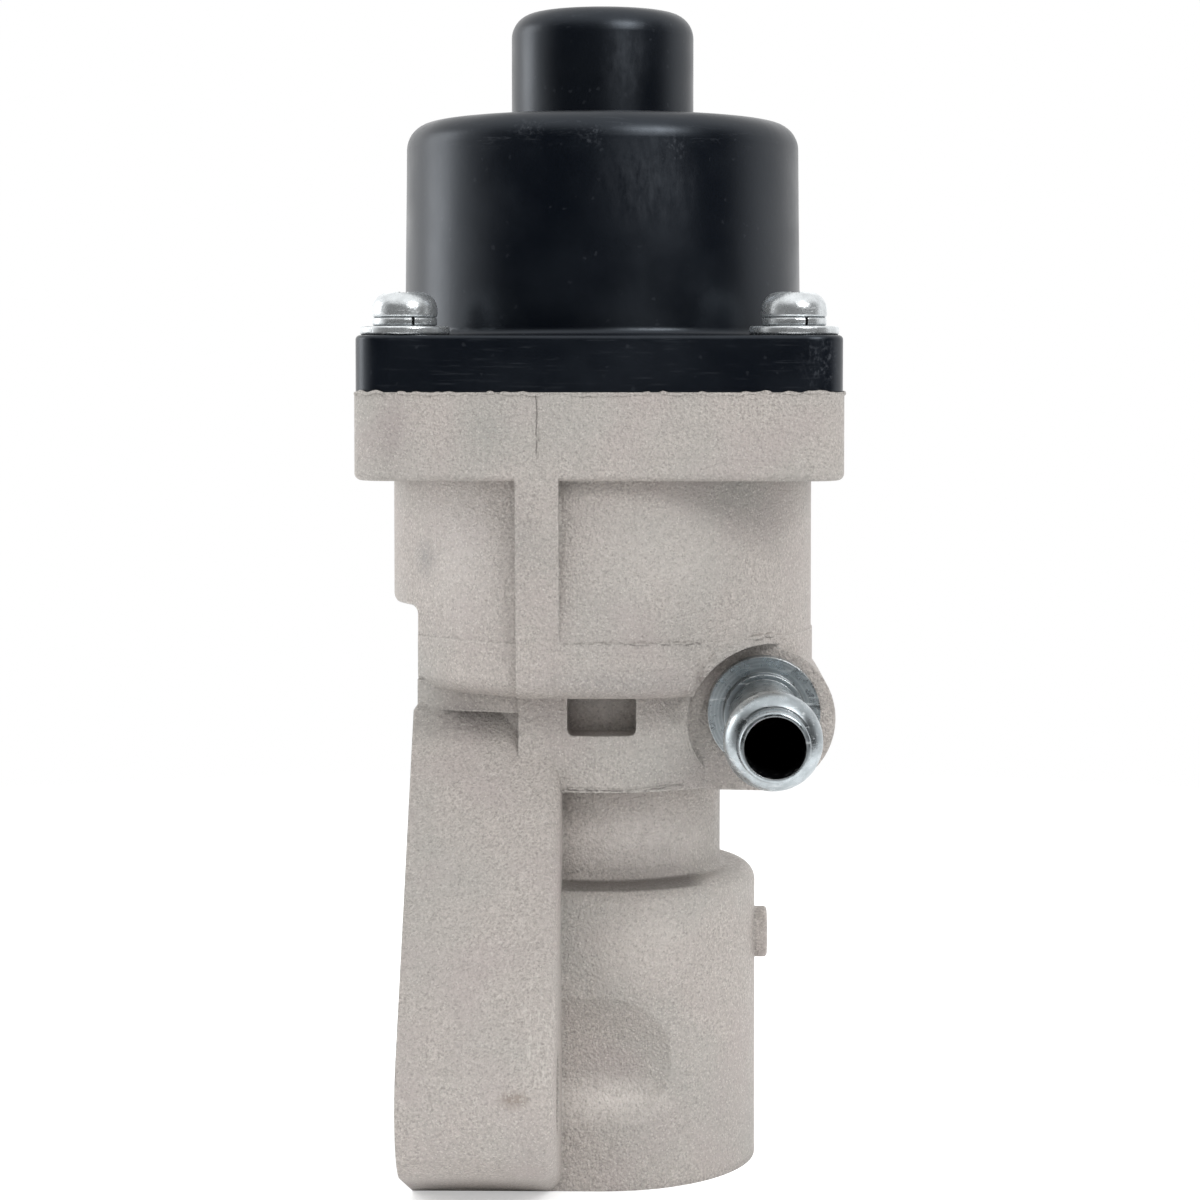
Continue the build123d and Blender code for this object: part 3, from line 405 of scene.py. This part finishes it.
def turned_end(tree, where, tone, rough):
    """The nipple's bore darkened as painted shade, and the turning marks on its collar's face."""
    x, y, z = axes_of(tree, where)
    across = node(tree, "CombineXYZ", {0: maths(tree, "SUBTRACT", x, NIPPLE_X), 1: 0.0,
                                       2: maths(tree, "SUBTRACT", z, NIPPLE_Z)}).outputs[0]
    radius = node(tree, "VectorMath", {0: across}, operation="LENGTH").outputs["Value"]
    # painted shade: the bore of the nipple is darkened
    inside = between(tree, radius, NIPPLE_BORE + 0.06 * MM, NIPPLE_BORE + 0.02 * MM)
    tone = blend_colour(tree, inside, tone, (0.012, 0.013, 0.015))
    rough = most(tree, rough, times(tree, inside, 0.6))
    face = within(tree, y, COLLAR_FRONT_Y - 0.05 * MM, COLLAR_FRONT_Y + 0.05 * MM, 0.05 * MM)
    turned = maths(tree, "FRACT", times(tree, radius, 1.0 / (0.42 * MM)))
    marks = times(tree, face, within(tree, turned, 0.3, 0.55, 0.15))
    return blend_colour(tree, times(tree, marks, 0.35), tone, (0.80, 0.84, 0.86)), rough


def scratched(tree, where, size, tone, rough):
    """Long thin scratches at two slants, paler and rougher than the metal round them."""
    for turn, offset in ((0.5, 0.0), (2.1, 3.0)):
        slanted = node(tree, "Mapping", {"Vector": where, "Location": (offset * MM,) * 3,
                                         "Rotation": (turn, 0.4 * turn, 0.7),
                                         "Scale": (0.12, 1.0, 1.0)}).outputs["Vector"]
        scratch = between(tree, noise(tree, slanted, size * 0.25, 2.0), 0.66, 0.70)
        rough = maths(tree, "ADD", rough, times(tree, scratch, 0.22))
        tone = blend_colour(tree, times(tree, scratch, 0.5), tone, (0.92, 0.94, 0.95))
    return tone, rough


def plated_steel(name, colour, roughness, scratch_size=1.5 * MM, bore=False, dents=0.25, metallic=1.0):
    """Zinc-plated or turned steel: cloudy polish, fine scratches, brighter edges, painted shade in hollows,
    and a bore darkened as painted shade if any.
    """
    material, tree, shader, where = new_material(name)
    cloud = noise(tree, where, 1.3 * MM, detail=5.0, roughness=0.6)
    edge, rounded = edge_share(tree, 0.18 * MM)
    darker = tuple(0.74 * part for part in colour)
    tone = blend_colour(tree, between(tree, cloud, 0.35, 0.7), colour, darker)
    tone = blend_colour(tree, times(tree, edge, 0.7), tone, (0.86, 0.88, 0.88))
    # painted shade: the colour darkens in hollows and corners, where shade falls
    tone = blend_colour(tree, times(tree, hollow_share(tree, 0.7 * MM), 0.7), tone, (0.10, 0.11, 0.12))
    rough = between(tree, cloud, 0.3, 0.7, roughness * 0.65, roughness * 1.6)
    if bore:
        tone, rough = turned_end(tree, where, tone, rough)
    tone, rough = scratched(tree, where, scratch_size, tone, rough)
    tree.links.new(tone, shader.inputs["Base Color"])
    tree.links.new(rough, shader.inputs["Roughness"])
    shader.inputs["Metallic"].default_value = metallic
    dented = bump(tree, cloud, dents, 0.10 * MM, rounded)
    lines = noise(tree, stretched(tree, where, (1.0, 1.0, 9.0)), scratch_size, 3.0)
    tree.links.new(bump(tree, lines, 0.15, 0.05 * MM, dented), shader.inputs["Normal"])
    return material


def plain(name, colour, metallic, roughness, grain_size):
    """A quieter finish for inner pieces: slight mottling of colour and polish."""
    material, tree, shader, where = new_material(name)
    grain = noise(tree, where, grain_size, detail=3.0)
    darker = tuple(0.75 * part for part in colour)
    tree.links.new(blend_colour(tree, grain, colour, darker), shader.inputs["Base Color"])
    shader.inputs["Metallic"].default_value = metallic
    tree.links.new(between(tree, grain, 0.3, 0.7, roughness * 0.8, roughness * 1.2),
                   shader.inputs["Roughness"])
    tree.links.new(bump(tree, grain, 0.2, 0.03 * MM), shader.inputs["Normal"])
    return material


FINISHES = {
    "cast_aluminium": cast_aluminium(),
    "black_plastic": black_plastic(),
    "zinc_steel": plated_steel("zinc_steel", (0.92, 0.96, 0.98), 0.25, dents=0.85, metallic=0.86),
    "stainless": plated_steel("stainless", (0.60, 0.59, 0.57), 0.30),
    "bronze": plain("bronze", (0.56, 0.38, 0.17), 1.0, 0.35, 0.8 * MM),
    "seal_rubber": plain("seal_rubber", (0.02, 0.02, 0.02), 0.0, 0.6, 0.5 * MM),
    "spring_steel": plain("spring_steel", (0.40, 0.40, 0.42), 1.0, 0.3, 0.6 * MM),
    "magnet": plain("magnet", (0.06, 0.06, 0.065), 0.4, 0.55, 0.4 * MM),
    "bearing_steel": plain("bearing_steel", (0.63, 0.63, 0.64), 1.0, 0.12, 2.0 * MM),
    "pale_plastic": plain("pale_plastic", (0.70, 0.66, 0.55), 0.0, 0.5, 0.8 * MM),
    "copper": plain("copper", (0.60, 0.26, 0.11), 1.0, 0.35, 0.3 * MM),
    "tinned_brass": plain("tinned_brass", (0.68, 0.66, 0.60), 1.0, 0.25, 0.7 * MM),
}
NIPPLE_FINISH = plated_steel("nipple_zinc", (0.60, 0.66, 0.69), 0.27, 1.6 * MM, bore=True)


def dress_nodes():
    """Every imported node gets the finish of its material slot; the nipple has its own."""
    slot_of = {row["node"]: row["material_slot"] for row in frame["record"]["subparts"]}
    for name, piece in frame["nodes"].items():
        finish = NIPPLE_FINISH if name == "hose_nipple" else FINISHES[slot_of[name]]
        piece.data.materials.clear()
        piece.data.materials.append(finish)


# ================= casting flash =================

def fade_in_out(count, ends):
    """From 0 at the first point up to 1, and back to 0 at the last; `ends` is each slope's share."""
    along = np.linspace(0, 1, count)
    rise = np.clip(np.minimum(along, 1 - along) / ends, 0, 1)
    return np.sqrt(rise)


def uneven(count, reach, seed):
    """Random heights with a mean of 0 and a spread of 1, smoothed over `reach` neighbours."""
    raw = np.random.default_rng(seed).normal(size=count + 8 * reach)
    window = np.exp(-np.linspace(-2, 2, 4 * reach + 1) ** 2)
    smooth = np.convolve(raw, window, "same")[4 * reach:4 * reach + count]
    return smooth / max(smooth.std(), 1e-9)


def ridge_faces(count, around, closed):
    """The faces between `count` rings of `around` points each, with a cap on both ends of an open line.

    A face joins two neighbouring points of one ring to the same two of the next ring.
    """
    row = np.arange(count if closed else count - 1)[:, None] * around
    step = np.arange(around)[None, :]
    after = (row + around) % (count * around)
    turned = (step + 1) % around
    corners = np.stack([row + step, after + step, after + turned, row + turned], axis=-1)
    faces = corners.reshape(-1, 4).tolist()
    if not closed:
        faces.append(list(range(around)))
        faces.append([(count - 1) * around + part for part in reversed(range(around))])
    return faces


def close_and_turn_outwards(mesh):
    """Merges points that lie together and turns all faces outwards."""
    clean = bmesh.new()
    clean.from_mesh(mesh)
    bmesh.ops.remove_doubles(clean, verts=clean.verts, dist=1e-7)
    bmesh.ops.recalc_face_normals(clean, faces=clean.faces)
    clean.to_mesh(mesh)
    clean.free()


def flash_line(name, path, outward, width, height, raggedness=0.4, seed=1, closed=False):
    """A low ragged ridge on a surface.

    Each ring of points round the path is an ellipse: half the width to each side, the height times an
    uneven factor outwards, and the same inwards, so the lower half lies in the metal. The factor fades
    to 0 at the ends of an open line, where each ring closes on one point.
    """
    count, around = len(path), 8
    ahead = np.roll(path, -1, 0) - np.roll(path, 1, 0) if closed else np.gradient(path, axis=0)
    ahead /= np.linalg.norm(ahead, axis=1, keepdims=True)
    sideways = np.cross(outward, ahead)
    size = np.clip(1 + raggedness * uneven(count, 2, seed), 0.15, 2.2)
    wander = 0.25 * raggedness * width * uneven(count, 5, seed + 1)
    if not closed:
        fade = fade_in_out(count, ends=0.12)
        size, wander = size * fade, wander * fade
    turn = np.linspace(0, 2 * np.pi, around, endpoint=False)
    across = np.cos(turn)[None, :] * width / 2 * np.minimum(size, 1.2)[:, None] + wander[:, None]
    up = np.sin(turn)[None, :] * height * size[:, None]
    rings = path[:, None] + across[..., None] * sideways[:, None] + up[..., None] * outward[:, None]
    mesh = bpy.data.meshes.new(name)
    mesh.from_pydata(rings.reshape(-1, 3).tolist(), [], ridge_faces(count, around, closed))
    close_and_turn_outwards(mesh)
    mesh.polygons.foreach_set("use_smooth", np.ones(len(mesh.polygons), dtype=bool))
    mesh.materials.append(FINISHES["cast_aluminium"])
    piece = bpy.data.objects.new(name, mesh)
    bpy.context.scene.collection.objects.link(piece)
    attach(piece, "root")


def on_cylinder(radius, x, z):
    """Points at the front of an upright cylinder on the valve axis, and the directions outwards.

    Y is minus the square root of the radius squared less X squared.
    """
    y = -np.sqrt(radius ** 2 - x ** 2)
    outward = np.stack([x, y, np.zeros_like(x)], axis=1)
    outward /= np.linalg.norm(outward, axis=1, keepdims=True)
    return np.stack([x, y, z], axis=1), outward


def directions(angle):
    """Level unit vectors at the given angles from +X."""
    return np.stack([np.cos(angle), np.sin(angle)], axis=-1)


def flange_lip():
    """The trimmed flash round the top edge of the casting's flange.

    The path is a square with rounded corners: four quarter circles, each about a hub on a diagonal,
    and four straight sides between them.
    """
    straight = FLANGE_HALF - FLANGE_CORNER
    quarter = np.linspace(0, np.pi / 2, 26)
    side = np.linspace(-straight, straight, 190)[1:-1]
    parts, facing = [], []
    for turn in range(4):
        way = directions(quarter + turn * np.pi / 2)
        hub = straight * np.sqrt(2) * directions((turn + 0.5) * np.pi / 2)
        parts.append(hub + FLANGE_CORNER * way)
        facing.append(way)
        face = directions((turn + 1) * np.pi / 2)
        parts.append(FLANGE_HALF * face + side[:, None] * np.array([-face[1], face[0]]))
        facing.append(np.repeat(face[None, :], len(side), axis=0))
    flat, way = np.concatenate(parts), np.concatenate(facing)
    level = FLANGE_TOP_Z - 0.16 * MM + 0.07 * MM * uneven(len(flat), 2, 41)
    path = np.column_stack([flat, level])
    outward = np.column_stack([way, np.zeros(len(way))])
    flash_line("flange_edge_flash", path, outward, 0.36 * MM, 0.09 * MM, 0.8, 42, closed=True)


def parting_line():
    """The mould's upright parting line on the front of the flange, a straight path."""
    count = 50
    z = np.linspace(90.6, 83.6, count) * MM
    path = np.column_stack([np.full(count, PARTING_LINE_X), np.full(count, -FLANGE_HALF), z])
    outward = np.repeat([[0.0, -1.0, 0.0]], count, axis=0)
    flash_line("parting_line_flash", path, outward, 0.22 * MM, 0.09 * MM, 0.5, 7)


def band_flash():
    """Two broken ridges on the small step above the body's lower band, level paths on its cylinder."""
    count = 60
    for name, start, end, height, seed in (("band_flash_left", -2.6, 3.0, 0.07, 11),
                                           ("band_flash_right", 3.3, 11.0, 0.13, 12)):
        x = np.linspace(start, end, count) * MM
        path, outward = on_cylinder(BODY_RADIUS + 0.08 * MM, x, np.full(count, BAND_TOP_Z))
        flash_line(name, path, outward, 0.30 * MM, height * MM, 0.5, seed)


def ring_flash():
    """Two thin ridges at the lower edge of the ring: a level path on its cylinder, and a rising one."""
    count = 60
    for name, start, end, low, high, seed in (("ring_flash_left", -4.2, 2.6, 0.42, 0.42, 21),
                                              ("ring_flash_right", 3.1, 9.2, 0.22, 0.72, 22)):
        x = np.linspace(start, end, count) * MM
        z = RING_BOTTOM_Z + np.linspace(low, high, count) * MM
        path, outward = on_cylinder(RING_RADIUS, x, z)
        flash_line(name, path, outward, 0.20 * MM, 0.12 * MM, 0.45, seed)


def boss_flash():
    """The ragged lip above the boss of the hose nipple, on the body's round wall.

    The path is an arc about the nipple's axis, laid on the cylinder of the body. Below the height where
    the body's edge begins to round, the cylinder's radius shrinks as that quarter circle does.
    """
    count = 90
    angle = np.radians(np.linspace(163, 62, count))
    reach = np.linspace(9.3, 8.6, count) * MM
    x, z = NIPPLE_X + reach * np.cos(angle), NIPPLE_Z + reach * np.sin(angle)
    lean = np.arcsin(np.clip((BODY_BOTTOM_Z + BODY_EDGE - z) / BODY_EDGE, 0, 0.98))
    path, outward = on_cylinder(BODY_RADIUS - BODY_EDGE * (1 - np.cos(lean)), x, z)
    outward = outward * np.cos(lean)[:, None] - np.array([0, 0, 1.0]) * np.sin(lean)[:, None]
    flash_line("boss_edge_flash", path, outward, 0.46 * MM, 0.28 * MM, 0.6, 31)


# ================= camera, lamps and floor =================

def make_camera():
    """Camera at the height of the screws, a little to the right; it tilts down and its lens is shifted."""
    camera = bpy.data.objects.new("camera", bpy.data.cameras.new("camera"))
    bpy.context.scene.collection.objects.link(camera)
    camera.data.sensor_width = SENSOR_MM
    camera.data.lens = LENS_MM
    camera.data.shift_y = -SHIFT_DOWN
    camera.data.clip_start = 0.01
    camera.data.clip_end = 20
    camera.location = EYE
    yaw = math.atan2(EYE.x - AIM_X, -EYE.y)
    camera.rotation_euler = Euler((math.radians(90) - TILT, 0, yaw))
    bpy.context.scene.camera = camera


def softbox(name, place, target, width, height, power):
    """A rectangular area lamp at `place` that faces `target`; its power is in watts."""
    lamp = bpy.data.lights.new(name, "AREA")
    lamp.shape = "RECTANGLE"
    lamp.size = width
    lamp.size_y = height
    lamp.energy = power
    box = bpy.data.objects.new(name, lamp)
    bpy.context.scene.collection.objects.link(box)
    box.location = place
    box.rotation_euler = (Vector(target) - Vector(place)).to_track_quat("-Z", "Y").to_euler()


def make_surroundings():
    """Even soft light from all round, while gloss shows a pale room with a dark front."""
    world = bpy.data.worlds.new("surroundings")
    bpy.context.scene.world = world
    world.use_nodes = True
    tree = world.node_tree
    shader = tree.nodes["Background"]
    path = node(tree, "LightPath")
    direction = node(tree, "TexCoord").outputs["Generated"]
    x, y, z = axes_of(tree, direction)
    # what gloss and glass show: pale sides, a white back, a dark room in front and a pale ceiling
    turned = maths(tree, "SUBTRACT", y, times(tree, x, 0.12))
    sides = maths(tree, "ADD", between(tree, turned, -0.32, 0.12, 0.012, 0.78),
                  between(tree, turned, 0.60, 0.98, 0.0, 0.45))
    shown = most(tree, sides, between(tree, z, 0.45, 0.85, 0.0, 0.9))
    # what lights the dull surfaces: more from above, from both sides and from the front
    sideways = times(tree, maths(tree, "ABSOLUTE", x), 0.50)
    frontal = times(tree, most(tree, times(tree, y, -1.0), 0.0), 0.32)
    from_above = between(tree, z, -0.7, 0.9, 0.55, 0.98)
    sky = maths(tree, "ADD", from_above, maths(tree, "ADD", sideways, frontal))
    gloss = most(tree, path.outputs["Is Glossy Ray"], path.outputs["Is Transmission Ray"])
    dull = maths(tree, "SUBTRACT", 1.0, gloss)
    lit = maths(tree, "ADD", times(tree, shown, gloss), times(tree, sky, dull))
    # the eye sees plain white
    shader.inputs["Color"].default_value = (1.0, 1.0, 1.0, 1.0)
    tree.links.new(most(tree, lit, path.outputs["Is Camera Ray"]), shader.inputs["Strength"])
    world.cycles.sampling_method = "NONE"


def make_lamps():
    """A softbox above the front and right, and a weaker one at the left and back."""
    centre = Vector((0, 0, 0.065))
    softbox("key_softbox", (0.38, -0.60, 0.54), centre, 0.30, 0.26, 2.6)
    softbox("left_softbox", (-0.62, 0.20, 0.22), centre, 0.25, 0.40, 0.8)


def make_floor():
    """Pale round floor that fades out at its rim, bright to the eye but still taking the shadow."""
    corners = 96
    angle = np.linspace(0, 2 * np.pi, corners, endpoint=False)
    rim = np.column_stack([FLOOR_RADIUS * directions(angle), np.zeros(corners)])
    mesh = bpy.data.meshes.new("floor")
    mesh.from_pydata(rim.tolist(), [], [list(range(corners))])
    floor = bpy.data.objects.new("floor", mesh)
    bpy.context.scene.collection.objects.link(floor)
    material = bpy.data.materials.new("pale_floor")
    material.use_nodes = True
    tree = material.node_tree
    shader = tree.nodes["Principled BSDF"]
    output = tree.nodes["Material Output"]
    where = node(tree, "TexCoord").outputs["Object"]
    shader.inputs["Base Color"].default_value = (0.86, 0.86, 0.86, 1.0)
    shader.inputs["Roughness"].default_value = 0.9
    path = node(tree, "LightPath")
    shown = most(tree, path.outputs["Is Camera Ray"], path.outputs["Is Transmission Ray"])
    shader.inputs["Emission Color"].default_value = (1.0, 1.0, 1.0, 1.0)
    tree.links.new(times(tree, shown, FLOOR_GLOW), shader.inputs["Emission Strength"])
    distance = node(tree, "VectorMath", {0: where}, operation="LENGTH").outputs["Value"]
    clear = node(tree, "BsdfTransparent").outputs[0]
    fade = between(tree, distance, *FLOOR_FADE)
    mixed = node(tree, "MixShader", {0: fade, 1: shader.outputs[0], 2: clear}).outputs[0]
    tree.links.new(mixed, output.inputs["Surface"])
    floor.data.materials.append(material)


dress_nodes()
flange_lip()
parting_line()
band_flash()
ring_flash()
boss_flash()
make_camera()
make_surroundings()
make_lamps()
make_floor()

scene = bpy.context.scene
scene.view_settings.view_transform = "Standard"
